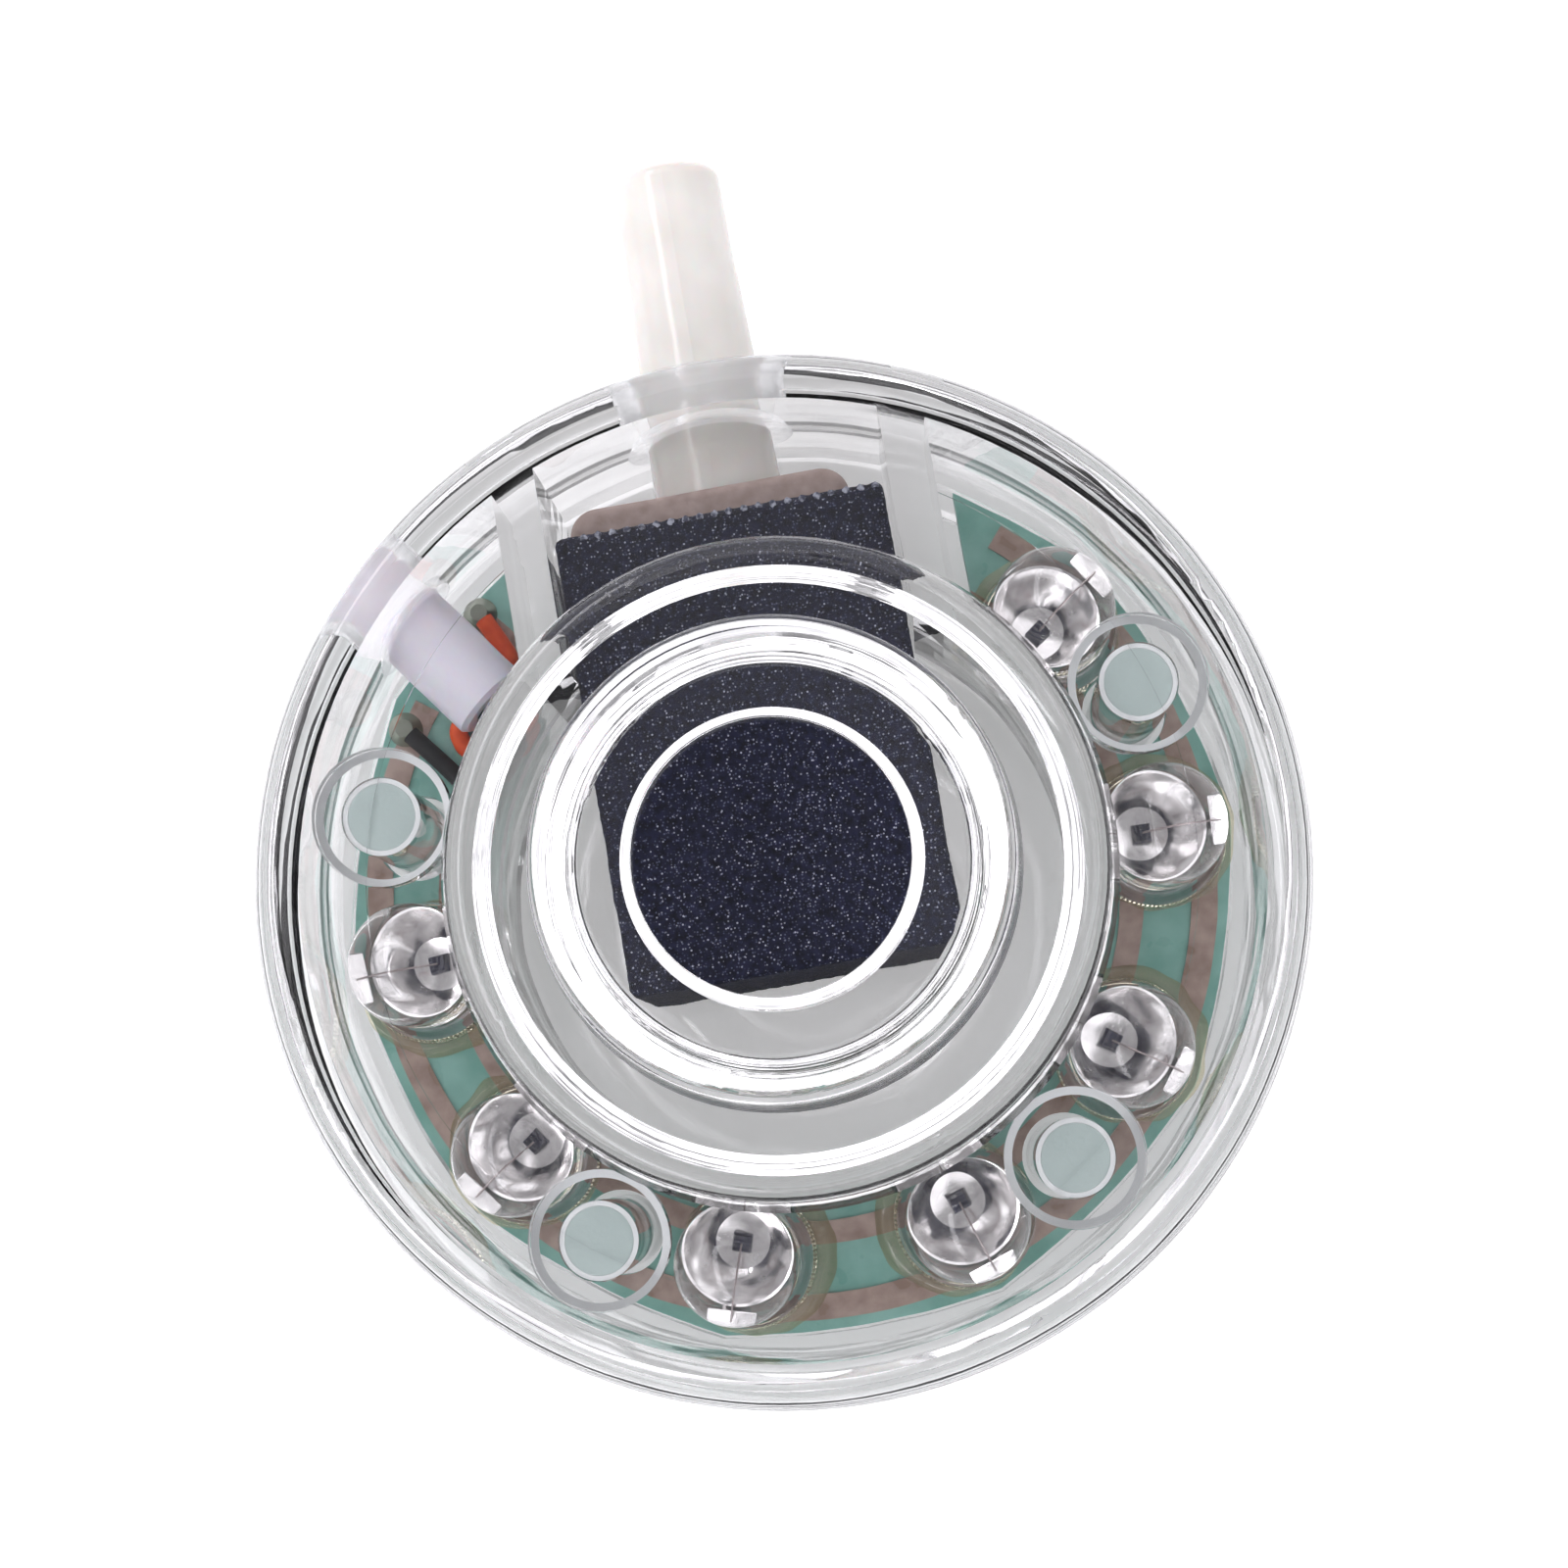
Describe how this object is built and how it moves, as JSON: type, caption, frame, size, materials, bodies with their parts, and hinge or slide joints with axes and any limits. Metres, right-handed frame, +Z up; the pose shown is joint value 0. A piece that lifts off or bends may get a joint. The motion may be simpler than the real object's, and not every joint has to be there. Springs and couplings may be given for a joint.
{
  "type": "submersible lit air-stone disc",
  "caption": "Clear round aquarium diffuser puck: air enters a side nozzle, leaves a black air stone as bubbles through a stepped outlet, lit by LEDs on a ring board.",
  "frame": {"origin": "centre of the base's flat underside", "axes": "+Z up through the bubble outlet, +Y out along the air nozzle, +X to the right seen from above with the nozzle pointing away"},
  "size_m": [0.042, 0.052, 0.0212],
  "materials": {
    "clear_plastic": "clear polished moulding",
    "clear_epoxy": "clear polished LED epoxy",
    "stone": null,
    "cap": "brown-grey sealing resin",
    "nozzle": "milky translucent soft plastic",
    "seal": "whitish translucent soft sealant",
    "board": "green solder mask",
    "track": "lacquered copper, brown",
    "led_metal": "silvered lead frame",
    "solder": "tin solder",
    "sleeve": "white cable jacket plastic",
    "red_lead": "red lead insulation",
    "black_lead": "black lead insulation"
  },
  "bodies": {
    "root": {"nozzle_seal": "seal", "sleeve_seal": "seal", "base_shell": "clear_plastic", "top_cover": "clear_plastic", "air_stone": "stone", "stone_end_cap": "cap", "air_nozzle": "nozzle", "led_board": "board", "inner_track": "track", "outer_track": "track", "led_solder": "solder", "cable_sleeve": "sleeve", "lead_solder": "solder", "black_lead": "black_lead", "red_lead": "red_lead", "led_lens_1": "clear_epoxy", "led_lens_2": "clear_epoxy", "led_lens_3": "clear_epoxy", "led_lens_4": "clear_epoxy", "led_lens_5": "clear_epoxy", "led_lens_6": "clear_epoxy", "led_lens_7": "clear_epoxy", "led_frame_1": "led_metal", "led_frame_2": "led_metal", "led_frame_3": "led_metal", "led_frame_4": "led_metal", "led_frame_5": "led_metal", "led_frame_6": "led_metal", "led_frame_7": "led_metal"}
  },
  "joints": []
}
